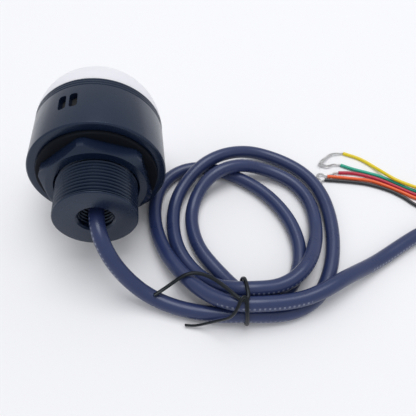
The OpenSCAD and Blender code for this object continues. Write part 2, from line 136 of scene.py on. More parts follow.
class CableSizes(bpy.types.PropertyGroup):
    jacket: length("Jacket", "Diameter of the cable's jacket", 5.6 * MM)
    jacket_wall: length("Jacket wall", "Wall of the jacket", 0.45 * MM)
    core: length("Core", "Diameter of one core", 1.5 * MM)
    strand: length("Strand", "Diameter of one tinned strand", 0.3 * MM)
    strands: IntProperty(name="Strands", description="Strands in one core", default=7)
    tie_width: length("Tie width", "Width of the flat tie", 1.45 * MM)
    tie_thickness: length("Tie thickness", "Thickness of the flat tie", 0.9 * MM)


class LightColours(bpy.types.PropertyGroup):
    body: shade("Body", "Moulded black plastic of the body and the nut", "#101b30")
    dome: shade("Dome", "Frosted dome", "#e4e4ea")
    rubber: shade("Rubber", "Gasket and seals", "#07080a")
    jacket: shade("Jacket", "Jacket of the cable", "#28335a")
    mark: shade("Marks", "Plain marks along the jacket", "#aeb4c8")
    yellow: shade("Yellow core", "Insulation of the yellow core", "#e8cf12")
    green: shade("Green core", "Insulation of the green core", "#0fa588")
    red: shade("Red core", "Insulation of the red core", "#b5173c")
    orange: shade("Orange core", "Insulation of the orange core", "#ee5f22")
    black: shade("Black core", "Insulation of the black core", "#17191f")
    tin: shade("Tin", "Tinned strands", "#dcdcdc")
    tie: shade("Tie", "Plastic of the wire tie", "#0a0c10")
    floor: shade("Floor", "Paper that the light lies on", "#f2f2f4")


# ---- The cable's route, laid on z = 0, in millimetres ----

LEAD = [
    (0, -27.25, 25.9), (0, -30, 25.9), (0.2, -36, 25.7), (0.8, -40.3, 24.9),
    (1.8, -43.8, 23.4), (2.9, -46.3, 21.2), (4.2, -48.4, 18.6), (5.8, -50.2, 15.8),
    (7.6, -51.8, 12.9), (9.7, -53.3, 10.1), (12, -54.9, 7.9), (14.2, -56.3, 6.1),
    (16.7, -57.7, 4.8), (19.7, -59.3, 3.9), (23.1, -61, 3.3), (26.7, -62.5, 3),
    (30.3, -63.8, 2.9), (34.1, -65, 2.9), (38.2, -66.1, 3.1), (44, -67.4, 3.6),
]
TURN_1 = [
    (50, -68.2, 4.2), (57, -68.9, 3.6), (64, -68.9, 2.9), (70.5, -67.6, 2.8), (76, -64.9, 2.8),
    (80.5, -61, 2.8), (84, -55.8, 2.8), (87.6, -48.6, 2.8), (90.6, -39.6, 2.8),
    (92.4, -30, 2.8), (92.8, -20, 2.8), (91.2, -10.8, 2.8), (87.4, -2.6, 2.8),
    (81.4, 4.2, 2.8), (73.6, 9, 3.6), (65, 11, 5.4), (56, 9.4, 7.6), (48.6, 6.4, 8.6),
    (42, 2.6, 8.3), (36, -2.2, 6.2), (31, -8, 4), (28, -15, 2.9), (26.7, -23, 2.8),
    (26.8, -31, 2.8), (28.4, -38.6, 2.8), (31.8, -45.8, 2.8), (36.2, -52, 3.8),
    (40.4, -56.4, 5.6), (44.8, -59.2, 8.2),
]
TURN_2 = [
    (50, -61.2, 10.1), (54, -61.3, 10), (58, -61.4, 9.4), (62, -61, 8.9), (66, -59.9, 8.7),
    (70.4, -57.6, 8.6), (74.6, -54, 8.6), (78.6, -48.6, 7.2), (82, -42, 5.2), (84.6, -35, 3.4),
    (86, -27.6, 2.8), (86, -20, 2.8), (84, -12.6, 2.8), (80, -6.4, 3), (74, -2, 3.8),
    (67, 0.4, 5.4), (60, 0.8, 7.6), (53.4, -0.6, 8.7), (47.4, -3, 8.4), (42, -6.6, 6.6),
    (38, -11.6, 4.4), (35.4, -17.6, 3), (34.4, -24.4, 2.8), (34.8, -31.4, 2.8),
    (36.6, -38.4, 2.8), (40, -45, 2.8), (43.5, -50.6, 2.8), (47, -56.2, 3.5),
]
TURN_3 = [
    (50, -59.7, 4.2), (54.6, -62.2, 4), (59, -62.9, 3.3), (62.8, -62.3, 2.8),
    (66.4, -60.4, 2.8), (69.8, -57.2, 2.8), (72.8, -52.6, 2.8), (75, -47, 2.8),
    (76.2, -40.6, 2.8), (76, -33.4, 2.8), (74.6, -26.4, 2.8), (71.6, -19, 2.8),
    (67.2, -11.8, 2.8), (61.4, -5.4, 2.8), (54.8, -0.2, 2.8), (48, 3.8, 2.8), (41, 6, 2.8),
    (34, 5.6, 2.8), (27.6, 2.2, 2.8), (22.8, -3.6, 2.8), (20.2, -10.8, 2.8),
    (19.2, -18.4, 2.8), (19.6, -26, 3.2), (21, -33.4, 4.2), (23.4, -40.8, 5.4),
    (26.8, -47.6, 6.2), (31, -53.8, 6.9), (35.6, -59.2, 7.8), (40, -62.8, 8.6),
    (44.6, -65.4, 9.5),
]
TAIL = [
    (50, -67, 10), (55, -67.3, 9.9), (60, -67.4, 9.3), (65, -67.2, 8.9), (70, -66.6, 8.6),
    (75, -65.4, 8.6), (80, -63.6, 8.6), (85, -61.2, 8.2), (90, -58.7, 7), (95, -56.3, 5.4),
    (100, -54, 4), (105.5, -51.4, 3), (111, -48.6, 2.8), (117, -45.6, 2.8), (125, -41.8, 2.8),
    (134, -38.6, 2.8), (144, -36.6, 2.8), (154, -35.6, 2.8), (165, -35.2, 2.8),
    (172.9, -33.1, 2.8), (178.7, -27.3, 2.8), (180.8, -19.4, 2.8), (178.7, -11.5, 2.8),
    (172.9, -5.7, 2.8), (165, -3.6, 2.8), (157.1, -5.7, 2.8), (151, -12, 2.8),
]
CABLE = LEAD + TURN_1 + TURN_2 + TURN_3 + TAIL
CORES = {
    "yellow": [
        (151, -12, 4.5), (149.4, -15.2, 4), (146.6, -18, 3.4), (142.6, -19.2, 2.8),
        (136.4, -17, 2.6), (129.4, -12, 2.6), (126.2, -8.6, 2.6), (122.6, -1.6, 1.2),
        (117.6, 4.8, 0.9), (110.8, 9.4, 0.9),
    ],
    "green": [
        (149.5, -11.2, 3.3), (147.6, -14.6, 2), (145, -18.2, 1.1), (141.6, -19.2, 0.9),
        (136, -17.4, 0.9), (132, -14.6, 0.9), (128.2, -11.2, 0.9), (123.4, -7.2, 0.9),
        (117.6, -4, 0.9), (111.8, -1, 0.9), (107.3, 2, 0.9),
    ],
    "red": [
        (150.1, -11.5, 1.4), (148.8, -15.4, 1), (147, -19.4, 0.9), (143, -21.6, 0.9),
        (138.6, -21.2, 0.9), (134.4, -19, 0.9), (128, -13.7, 0.9), (122.8, -9.4, 0.9),
        (117, -6, 0.9), (111, -3.6, 0.9), (104.8, -2.6, 0.9),
    ],
    "orange": [
        (151.9, -12.5, 1.4), (151, -16.4, 1), (148.6, -21, 0.9), (144, -23.6, 0.9),
        (138.4, -23.2, 0.9), (134, -21.2, 0.9), (129.4, -17.3, 0.9), (123.4, -12.6, 0.9),
        (117.4, -9, 0.9), (109.6, -6.8, 0.9), (99, -4.2, 0.9),
    ],
    "black": [
        (152.5, -12.8, 3.3), (152.4, -17.4, 2), (150.4, -22.6, 1.1), (146, -26.4, 0.9),
        (140.4, -27.8, 0.9), (135, -26.8, 0.9), (132.2, -24.6, 0.9), (129, -20.2, 0.9),
        (124.2, -15.7, 0.9), (116.8, -11.4, 0.9), (109.2, -8.9, 0.9), (97.2, -6.2, 0.9),
    ],
}
# The tinned strands, from each core's end to where they fray out.
STRANDS = {
    "yellow": [(105.6, 9.2, 1.2), (101.7, 7.2, 1.4), (98.3, 4.3, 1), (97.3, 1.8, 0.7)],
    "green": [(103.6, 2.4, 1.2), (100.8, 1.5, 1.3), (98.2, 2.6, 0.9), (96.9, 4.4, 0.7)],
    "red": [(102.4, -2.9, 1), (100.4, -4.2, 0.8), (99.6, -5.6, 0.6)],
    "orange": [(96.6, -2.9, 1.1), (94.7, -3.2, 1.2), (94.2, -4.8, 0.9), (95.8, -5.4, 0.6)],
    "black": [(95.6, -7, 0.9), (94.6, -8.8, 0.7), (94.8, -10.2, 0.5)],
}
# The wire tie: one free end, once round the strands, a half knot, and the other free end.
TIE = [
    (18, -59, 8.3), (22, -56.8, 8.6), (26, -54.8, 9.6), (29.6, -53.4, 10.7),
    (33, -53.2, 11.1), (36.6, -54.6, 11.6), (40.2, -57.6, 12.4), (43.6, -61.6, 13.2),
    (46.4, -65.4, 13.8), (48.8, -67.4, 14), (50.4, -66, 14), (50.6, -62, 13.8),
    (50.5, -58.4, 12.6), (50.4, -56.5, 10), (50.3, -55.4, 6), (50.1, -56.6, 2.2),
    (50, -60, 0.7), (49.9, -65, 0.6), (49.8, -69.6, 1), (49.7, -71.7, 3.4),
    (49.6, -71.6, 7), (49.5, -70.4, 10.6), (49.6, -68.2, 13.4), (49.4, -66.6, 15),
    (48, -66.8, 15.4), (46.6, -69, 14.2), (45, -70.6, 12), (43.4, -71, 9.8),
    (41.2, -70.6, 7.6), (38.3, -69.9, 5.2), (34.4, -69.4, 2.8), (31.2, -69, 1.5),
    (28, -68.2, 1),
]


# ---- Lines and shapes ----


def through(points, step):
    """A smooth line through given millimetre points, in metres, evenly spaced by step."""
    knots = [Vector(p) * MM for p in points]
    knots = [2 * knots[0] - knots[1]] + knots + [2 * knots[-1] - knots[-2]]
    fine = []
    cuts = 16
    for a, b, c, d in zip(knots, knots[1:], knots[2:], knots[3:]):
        for t in (k / cuts for k in range(cuts)):
            fine.append(
                0.5 * (2 * b + (c - a) * t + (2 * a - 5 * b + 4 * c - d) * t**2
                       + (3 * b - a - 3 * c + d) * t**3)
            )
    fine.append(knots[-2])
    run = [0.0]
    for a, b in zip(fine, fine[1:]):
        run.append(run[-1] + (b - a).length)
    count = max(2, round(run[-1] / step))
    line, i = [], 0
    for k in range(count + 1):
        want = run[-1] * k / count
        while i < len(run) - 2 and run[i + 1] < want:
            i += 1
        line.append(fine[i].lerp(fine[i + 1], (want - run[i]) / (run[i + 1] - run[i])))
    return line


def relaxed(line, passes):
    """The line with its sharpest bends eased, as a springy cable takes them."""
    for _ in range(passes):
        line = (
            [line[0]]
            + [(a + 2 * b + c) / 4 for a, b, c in zip(line, line[1:], line[2:])]
            + [line[-1]]
        )
    return line


def rounded(outline, cuts=3):
    """An open outline of (radius, height, fillet) with each fillet drawn as an arc."""
    points = [Vector(p[:2]) for p in outline]
    result = [points[0]]
    for a, p, b, entry in zip(points, points[1:], points[2:], outline[1:]):
        fillet = entry[2] if len(entry) > 2 else 0
        u, v = (a - p), (b - p)
        if not fillet:
            result.append(p)
            continue
        half = u.angle(v) / 2
        reach = min(fillet / tan(half), 0.45 * u.length, 0.45 * v.length)
        radius = reach * tan(half)
        u.normalize()
        v.normalize()
        centre = p + (u + v).normalized() * radius / sin(half)
        start, end = p + u * reach - centre, p + v * reach - centre
        result += [centre + radius * start.slerp(end, k / cuts) for k in range(cuts + 1)]
    return result + [points[-1]]


def turned(outline, steps, closed=False):
    """A bmesh of the outline spun round local Z."""
    bm = bmesh.new()
    line = [bm.verts.new((r, 0, a)) for r, a in outline]
    pairs = list(zip(line, line[1:])) + ([(line[-1], line[0])] if closed else [])
    edges = [bm.edges.new(pair) for pair in pairs]
    bmesh.ops.spin(
        bm, geom=line + edges, cent=(0, 0, 0), axis=(0, 0, 1), angle=2 * pi, steps=steps,
        use_merge=True,
    )
    bmesh.ops.remove_doubles(bm, verts=bm.verts, dist=1e-7)
    return bm


def thread(root, crest, pitch, low, high, steps):
    """A bmesh of a right-hand screw thread round local Z, cut flat at low and high."""
    bm = bmesh.new()
    flat = 0.12 * pitch
    flank = 0.5 * pitch - flat
    a, column = low - 2 * pitch, []
    while a < high + 2 * pitch:
        for r, rise in ((root, flat), (root, flank), (crest, flat), (crest, flank)):
            column.append(bm.verts.new((r, 0, a)))
            a += rise
    edges = [bm.edges.new(pair) for pair in zip(column, column[1:])]
    bmesh.ops.spin(
        bm, geom=column + edges, cent=(0, 0, 0), axis=(0, 0, 1), angle=2 * pi, steps=steps,
        dvec=(0, 0, pitch / steps),
    )
    bmesh.ops.remove_doubles(bm, verts=bm.verts, dist=2e-6)
    for height, up in ((low, -1), (high, 1)):
        bmesh.ops.bisect_plane(
            bm, geom=bm.verts[:] + bm.edges[:] + bm.faces[:], plane_co=(0, 0, height),
            plane_no=(0, 0, up), clear_outer=True, dist=1e-8,
        )
    return bm


def joined(bm, other):
    """Adds the other bmesh to this one and frees it."""
    spare = bpy.data.meshes.new("spare")
    other.to_mesh(spare)
    other.free()
    bm.from_mesh(spare)
    bpy.data.meshes.remove(spare)
    return bm


def bridge_at(bm, height, reach=1e-6):
    """Bridges the two open rims that lie at this height along local Z."""
    rims = [
        e for e in bm.edges
        if e.is_boundary and all(abs(v.co.z - height) < reach for v in e.verts)
    ]
    bmesh.ops.bridge_loops(bm, edges=rims)


def combined(bm, tool, operation):
    """The bmesh after an exact boolean with the tool. Both are freed."""
    objects = []
    for shape in (bm, tool):
        bmesh.ops.recalc_face_normals(shape, faces=shape.faces)
        mesh = bpy.data.meshes.new("shape")
        shape.to_mesh(mesh)
        shape.free()
        objects.append(bpy.data.objects.new("shape", mesh))
        bpy.context.scene.collection.objects.link(objects[-1])
    modifier = objects[0].modifiers.new("Boolean", "BOOLEAN")
    modifier.operation = operation
    modifier.solver = "EXACT"
    modifier.object = objects[1]
    depsgraph = bpy.context.evaluated_depsgraph_get()
    result = bmesh.new()
    result.from_mesh(objects[0].evaluated_get(depsgraph).to_mesh())
    for obj in objects:
        mesh = obj.data
        bpy.data.objects.remove(obj)
        bpy.data.meshes.remove(mesh)
    return result


def on_axis(bm):
    """Turns local Z along the light's axis, with height 0 at the mounting face."""
    place = Matrix.Translation((0, FACE_Y, AXIS_Z)) @ Matrix.Rotation(-pi / 2, 4, "X")
    bmesh.ops.transform(bm, matrix=place, verts=bm.verts)
    return bm


def around(angle):
    """Turns local X to an angle round the axis, 0 at the top and positive to -X."""
    return Matrix.Rotation(-pi / 2 - angle, 4, "Z")


def finished(name, bm, body, material, replaces=(), sharp=32):
    """The piece as an object on its body, smooth but for its sharp edges."""
    bmesh.ops.recalc_face_normals(bm, faces=bm.faces)
    mesh = bpy.data.meshes.new(name)
    bm.to_mesh(mesh)
    bm.free()
    mesh.materials.append(material)
    mesh.shade_smooth()
    mesh.set_sharp_from_angle(angle=radians(sharp))
    obj = bpy.data.objects.new(name, mesh)
    bpy.context.scene.collection.objects.link(obj)
    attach(obj, body)
    if replaces:
        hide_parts(*replaces)
    return obj


def frames_along(line, up):
    """A matrix at each point, with Z along the line and Y kept as near to up as it can be."""
    result, normal = [], Vector(up)
    for i, point in enumerate(line):
        ahead = (line[min(i + 1, len(line) - 1)] - line[max(i - 1, 0)]).normalized()
        side = normal.cross(ahead).normalized()
        normal = ahead.cross(side)
        turn = Matrix((side, normal, ahead)).transposed().to_4x4()
        result.append(Matrix.Translation(point) @ turn)
    return result


def swept(bm, line, width, height, sides, up=(0, 0, 1), mouth=0.0):
    """Sweeps an oval along the line, with a UV map: round the line and along it in metres.
    A mouth is the wall left round a shallow hollow in the far end."""
    frames = frames_along(line, up)
    size = Matrix.Diagonal((width / 2, height / 2, 1, 1))
    start = bmesh.ops.create_circle(
        bm, cap_ends=True, segments=sides, radius=1, matrix=frames[0] @ size
    )
    verts = start["verts"]
    members = set(verts)
    ends = [e for v in verts for e in v.link_edges if all(w in members for w in e.verts)]
    edges = list(dict.fromkeys(ends))
    place = {v: (frames[0], 0.0) for v in verts}
    run = 0.0
    for before, after in zip(frames, frames[1:]):
        run += (after.translation - before.translation).length
        grown = bmesh.ops.extrude_edge_only(bm, edges=edges)["geom"]
        verts = [g for g in grown if isinstance(g, bmesh.types.BMVert)]
        members = set(verts)
        edges = [
            g for g in grown
            if isinstance(g, bmesh.types.BMEdge) and all(v in members for v in g.verts)
        ]
        bmesh.ops.transform(bm, matrix=after @ before.inverted(), verts=verts)
        place.update((v, (after, run)) for v in verts)
    cap = bmesh.ops.contextual_create(bm, geom=edges)["faces"]
    if mouth:
        bmesh.ops.inset_region(bm, faces=cap, thickness=mouth)
        deep = bmesh.ops.extrude_face_region(bm, geom=cap)["geom"]
        hollow = [g for g in deep if isinstance(g, bmesh.types.BMVert)]
        bmesh.ops.translate(
            bm, vec=frames[-1].to_3x3() @ Vector((0, 0, -MOUTH_DEPTH)), verts=hollow
        )
        bmesh.ops.delete(bm, geom=cap, context="FACES_ONLY")
        place.update((v, (frames[-1], run)) for v in bm.verts if v not in place)
    map_round(bm, place)


def map_round(bm, place):
    """Writes the UV map of a sweep from each vertex's frame and its distance along."""
    uv = bm.loops.layers.uv.verify()
    for face in bm.faces:
        first = None
        for loop in face.loops:
            if loop.vert not in place:
                continue
            matrix, run = place[loop.vert]
            local = matrix.inverted() @ loop.vert.co
            turn = atan2(local.y, local.x) / (2 * pi)
            if first is None:
                first = turn
            turn += round(first - turn)
            loop[uv].uv = (turn, run)


# ---- Materials ----


def add(tree, kind, links=(), **settings):
    """Adds a node of this kind with its settings. Links are (its input, a socket) pairs."""
    node = tree.nodes.new(kind)
    for key, value in settings.items():
        if key == "inputs":
            for name, number in value.items():
                node.inputs[name].default_value = number
        else:
            setattr(node, key, value)
    for name, socket in links:
        tree.links.new(node.inputs[name], socket)
    return node


def opened(name):
    """A new material with its shader and its Object coordinates."""
    material = bpy.data.materials.new(name)
    material.use_nodes = True
    tree = material.node_tree
    shader = tree.nodes["Principled BSDF"]
    return material, tree, shader, add(tree, "ShaderNodeTexCoord")


def grain(tree, coords, size, detail=2.0):
    """Noise with spots of about this size in metres."""
    return add(
        tree, "ShaderNodeTexNoise", [("Vector", coords)],
        inputs={"Scale": 1 / size, "Detail": detail, "Roughness": 0.55},
    )


def spread(tree, socket, low, high):
    """Maps the middle of a noise's range to low and high."""
    return add(
        tree, "ShaderNodeMapRange", [("Value", socket)],
        inputs={"From Min": 0.3, "From Max": 0.7, "To Min": low, "To Max": high},
    ).outputs["Result"]


def two_tone(tree, socket, colour, change):
    """The colour, darker and lighter by a share of itself, as the noise goes."""
    dark = [c * (1 - change) for c in colour] + [1]
    light = [min(1, c * (1 + change)) for c in colour] + [1]
    mix = add(tree, "ShaderNodeMix", [("Factor", socket)], data_type="RGBA")
    mix.inputs["A"].default_value = dark
    mix.inputs["B"].default_value = light
    return mix.outputs["Result"]


def bump(tree, shader, socket, depth):
    """Gives the shader a fine relief of this depth in metres."""
    node = add(tree, "ShaderNodeBump", [("Height", socket)], inputs={"Distance": depth})
    tree.links.new(shader.inputs["Normal"], node.outputs["Normal"])


def moulded(name, colour, roughness, texture, depth, change=0.12, sheen=(1, 1, 1)):
    """Injection moulded plastic: an even satin skin whose gloss drifts a little."""
    material, tree, shader, coords = opened(name)
    place = coords.outputs["Object"]
    broad = grain(tree, place, 9 * MM, 4)
    fine = grain(tree, place, texture, 3)
    tree.links.new(
        shader.inputs["Base Color"], two_tone(tree, broad.outputs["Fac"], colour, change)
    )
    tree.links.new(
        shader.inputs["Roughness"],
        spread(tree, broad.outputs["Fac"], roughness * 0.88, roughness * 1.12),
    )
    shader.inputs["IOR"].default_value = 1.54
    shader.inputs["Specular Tint"].default_value = (*sheen, 1)
    bump(tree, shader, fine.outputs["Fac"], depth)
    return material


def abs_black(context):
    """Spark-textured ABS: satin black, with the fine grain of the mould in its highlights."""
    return moulded("moulded_abs_black", context.scene.light_colours.body, 0.26,
                   0.35 * MM, 0.006 * MM, sheen=(0.66, 0.8, 1.0))


def frosted_polycarbonate(context):
    """Opal polycarbonate, bead blasted inside: light goes in, spreads and comes back soft."""
    material, tree, shader, coords = opened("frosted_polycarbonate")
    colour = context.scene.light_colours.dome
    place = coords.outputs["Object"]
    cloud = grain(tree, place, 14 * MM, 3)
    frost = grain(tree, place, 0.4 * MM, 2)
    tree.links.new(
        shader.inputs["Base Color"], two_tone(tree, cloud.outputs["Fac"], colour, 0.02)
    )
    tree.links.new(
        shader.inputs["Roughness"], spread(tree, frost.outputs["Fac"], 0.42, 0.52)
    )
    shader.inputs["IOR"].default_value = 1.585
    shader.inputs["Subsurface Weight"].default_value = 0.6
    shader.inputs["Subsurface Radius"].default_value = (1.0, 1.0, 1.0)
    shader.inputs["Subsurface Scale"].default_value = 3 * MM
    bump(tree, shader, frost.outputs["Fac"], 0.01 * MM)
    return material


def nitrile(context):
    """Nitrile rubber: dull, with the faint bloom that moulded rubber has."""
    return moulded("nitrile_rubber", context.scene.light_colours.rubber, 0.8,
                   0.5 * MM, 0.02 * MM, 0.3, sheen=(0.3, 0.36, 0.5))


def pvc_jacket(context):
    """Extruded PVC: satin, with draw lines along it, slight ripples where the cores twist
    beneath, and a broken row of small plain marks."""
    colours = context.scene.light_colours
    material, tree, shader, coords = opened("extruded_pvc_jacket")
    round_about = add(tree, "ShaderNodeUVMap").outputs["UV"]
    place = coords.outputs["Object"]
    drawn = add(
        tree, "ShaderNodeMapping", [("Vector", round_about)], inputs={"Scale": (60, 40, 1)}
    )
    lines = add(
        tree, "ShaderNodeTexNoise", [("Vector", drawn.outputs["Vector"])],
        inputs={"Scale": 1.0, "Detail": 2.0},
    )
    ripple = grain(tree, place, 7 * MM, 2)
    skin = grain(tree, place, 0.3 * MM, 2)
    tone = two_tone(tree, ripple.outputs["Fac"], colours.jacket, 0.14)
    marks = marked(tree, round_about)
    mix = add(tree, "ShaderNodeMix", [("Factor", marks)], data_type="RGBA")
    tree.links.new(mix.inputs["A"], tone)
    mix.inputs["B"].default_value = [*colours.mark, 1]
    tree.links.new(shader.inputs["Base Color"], mix.outputs["Result"])
    tree.links.new(
        shader.inputs["Roughness"], spread(tree, ripple.outputs["Fac"], 0.26, 0.34)
    )
    shader.inputs["IOR"].default_value = 1.53
    shader.inputs["Specular Tint"].default_value = (0.85, 0.9, 1.0, 1)
    height = add(
        tree, "ShaderNodeMath", [(0, lines.outputs["Fac"]), (1, skin.outputs["Fac"])],
        operation="ADD",
    )
    bump(tree, shader, height.outputs["Value"], 0.012 * MM)
    return material


def marked(tree, round_about):
    """How much a point of the jacket is marked: short plain dashes in one broken row."""
    dash_pitch, dash_share = 1.7 * MM, 0.4
    group_pitch, group_share = 62 * MM, 0.52
    row_turn, row_share = 0.62, 0.05
    contrast = 0.32

    def maths(operation, first, second):
        """A Math node's result. The second operand is a socket or a number."""
        if isinstance(second, float):
            links, inputs = [(0, first)], {1: second}
        else:
            links, inputs = [(0, first), (1, second)], {}
        return add(
            tree, "ShaderNodeMath", links, operation=operation, inputs=inputs
        ).outputs["Value"]

    def wave(socket, period, share):
        """One over this share of each period, and zero over the rest."""
        within = add(
            tree, "ShaderNodeMath", [(0, socket)], operation="WRAP",
            inputs={1: period, 2: 0.0},
        ).outputs["Value"]
        return maths("LESS_THAN", within, period * share)

    parts = add(tree, "ShaderNodeSeparateXYZ", [("Vector", round_about)])
    dash = wave(parts.outputs["Y"], dash_pitch, dash_share)
    group = wave(parts.outputs["Y"], group_pitch, group_share)
    row = wave(maths("ADD", parts.outputs["X"], row_turn), 1.0, row_share)
    marks = maths("MULTIPLY", maths("MULTIPLY", dash, group), row)
    return maths("MULTIPLY", marks, contrast)


def pvc_core(name, colour):
    """Thin PVC insulation: smooth and glossy, with a little wave from the strands inside."""
    return moulded(name, colour, 0.3, 1.2 * MM, 0.02 * MM, 0.06)


def tinned_copper(context):
    """Tinned copper strands: bright soft metal, dulled in patches by handling."""
    material, tree, shader, coords = opened("tinned_copper")
    patch = grain(tree, coords.outputs["Object"], 0.8 * MM, 3)
    tree.links.new(
        shader.inputs["Base Color"],
        two_tone(tree, patch.outputs["Fac"], context.scene.light_colours.tin, 0.15),
    )
    tree.links.new(
        shader.inputs["Roughness"], spread(tree, patch.outputs["Fac"], 0.35, 0.5)
    )
    shader.inputs["Metallic"].default_value = 1.0
    return material


def zinc_steel():
    """Zinc-plated steel: pale metal with a fine blur from the plating."""
    material, tree, shader, coords = opened("zinc_plated_steel")
    patch = grain(tree, coords.outputs["Object"], 0.6 * MM, 3)
    tree.links.new(
        shader.inputs["Base Color"],
        two_tone(tree, patch.outputs["Fac"], linear("#c9ccd1"), 0.08),
    )
    tree.links.new(
        shader.inputs["Roughness"], spread(tree, patch.outputs["Fac"], 0.25, 0.4)
    )
    shader.inputs["Metallic"].default_value = 1.0
    return material


# ---- The pieces ----


class LIGHT_OT_body(bpy.types.Operator):
    """Builds the body with its threaded stem, fine grooves and sound slots"""

    bl_idname = "status_light.body"
    bl_label = "Body and Stem"

    def execute(self, context):
        size = context.scene.light_sizes
        thread_low, thread_high = -STEM_LEN + 0.55 * MM, 0.3 * MM
        bm = turned(rounded(self.outline(size, thread_low, thread_high)), size.steps)
        screw = thread(STEM_R - size.depth, STEM_R, size.pitch, thread_low, thread_high,
                       size.steps)
        joined(bm, screw)
        bridge_at(bm, thread_low)
        bridge_at(bm, thread_high)
        cutters = joined(self.slot_cutter(size, -1), self.slot_cutter(size, 1))
        bm = combined(bm, cutters, "DIFFERENCE")
        on_axis(bm)
        finished("body_shell", bm, "light", abs_black(context), ["housing"])
        return {"FINISHED"}

    def outline(self, size, thread_low, thread_high):
        """From the thread's upper end round the body, down the hole to its lower end."""
        top = BODY_R - size.draft
        root = STEM_R - size.depth
        seat_r = GASKET_R + 0.2 * MM
        half = 0.36 * MM
        line = [
            (STEM_R + 0.1 * MM, thread_high),
            (seat_r, thread_high),
            (seat_r, 0, 0.1 * MM),
            (BODY_R - size.rim, 0, 0.12 * MM),
            (BODY_R, size.rim, 0.15 * MM),
        ]
        for k in (2, 1, 0):
            a = BODY_H - 0.9 * MM - k * size.groove_pitch
            line += [
                (top, a - half, 0.06 * MM),
                (top - size.groove_depth, a, 0.08 * MM),
                (top, a + half, 0.06 * MM),
            ]
        line += [
            (top, BODY_H, 0.25 * MM),
            (top - size.wall, BODY_H, 0.1 * MM),
            (top - size.wall, size.floor, 0.5 * MM),
            (size.hole, size.floor),
        ]
        inner_depth = 0.6 * MM
        a = -STEM_LEN + size.hole_thread - inner_depth
        while a > -STEM_LEN + 1.2 * MM:
            line += [
                (size.hole, a + 0.6 * MM),
                (size.hole + inner_depth, a + 0.15 * MM),
                (size.hole + inner_depth, a),
                (size.hole, a - 0.45 * MM),
            ]
            a -= size.pitch
        # The mouth's chamfer, the collar at the stem's end, and a neck below the thread.
        inset, neck = 0.02 * MM, thread_low - 0.06 * MM
        line += [
            (size.hole, -STEM_LEN + 0.75 * MM),
            (size.hole + 0.7 * MM, -STEM_LEN, 0.12 * MM),
            (STEM_R - 0.35 * MM, -STEM_LEN, 0.1 * MM),
            (STEM_R - inset, -STEM_LEN + 0.3 * MM, 0.1 * MM),
            (STEM_R - inset, neck),
            (root - inset, neck),
            (root - inset, thread_low),
        ]
        return line

    def slot_cutter(self, size, side):
        """A rounded slot's plug that flares where it meets the body's skin."""
        corner, cuts = 1.1 * MM, 6
        inside, lip = 5 * MM, 0.3 * MM
        half_w, half_h = size.slot_width / 2, size.slot_height / 2
        skin = BODY_R - size.draft / 2
        bm = bmesh.new()
        ring = []
        for turn, (across, along) in enumerate(((1, 1), (1, -1), (-1, -1), (-1, 1))):
            centre = Vector((
                skin - inside, across * (half_w - corner), along * (half_h - corner)
            ))
            for k in range(cuts + 1):
                angle = pi / 2 * (1 - turn - k / cuts)
                edge = corner * Vector((0, cos(angle), sin(angle)))
                ring.append(bm.verts.new(centre + edge))
        face = bm.faces.new(ring)
        top = face
        for depth, grow in ((inside - lip / 2, 0), (lip, lip)):
            moved = bmesh.ops.extrude_face_region(bm, geom=[top], use_keep_orig=True)["geom"]
            top = next(g for g in moved if isinstance(g, bmesh.types.BMFace))
            bmesh.ops.translate(bm, vec=(depth, 0, 0), verts=top.verts)
            bmesh.ops.scale(
                bm, vec=(1, 1 + grow / half_w, 1 + grow / half_h), verts=top.verts,
            )
            inner = [f for f in bm.faces if f not in (face, top) and len(f.verts) > 4]
            bmesh.ops.delete(bm, geom=inner, context="FACES_ONLY")
        half_step = size.slot_pitch / skin / 2
        place = (
            Matrix.Translation((0, 0, SLOT_A))
            @ around(size.slot_turn + side * half_step)
        )
        bmesh.ops.transform(bm, matrix=place, verts=bm.verts)
        return bm


class LIGHT_OT_dome(bpy.types.Operator):
    """Builds the frosted dome with its spigot"""

    bl_idname = "status_light.dome"
    bl_label = "Frosted Dome"

    def execute(self, context):
        size = context.scene.light_sizes
        inner = DOME_R - size.dome_wall
        spigot_r = BODY_R - size.draft - size.wall - 0.3 * MM
        spigot_bore = inner - 1.6 * MM
        foot = 0.02 * MM
        arc = 40
        line = [(DOME_R * sin(pi / 2 * k / arc), DOME_R * cos(pi / 2 * k / arc))
                for k in range(arc)]
        line += [(DOME_R, 0.35 * MM), (DOME_R - 0.2 * MM, foot),
                 (spigot_r, foot), (spigot_r, -size.spigot),
                 (spigot_bore, -size.spigot), (spigot_bore, 0),
                 (inner - 0.6 * MM, 0.4 * MM)]
        line += [(inner * cos(pi / 2 * k / arc), inner * sin(pi / 2 * k / arc))
                 for k in range(8, arc)]
        line.append((0, inner))
        bm = turned([(r, a + BODY_H) for r, a in line], size.steps)
        on_axis(bm)
        finished("dome", bm, "light", frosted_polycarbonate(context),
                 ["dome_lens"])
        return {"FINISHED"}


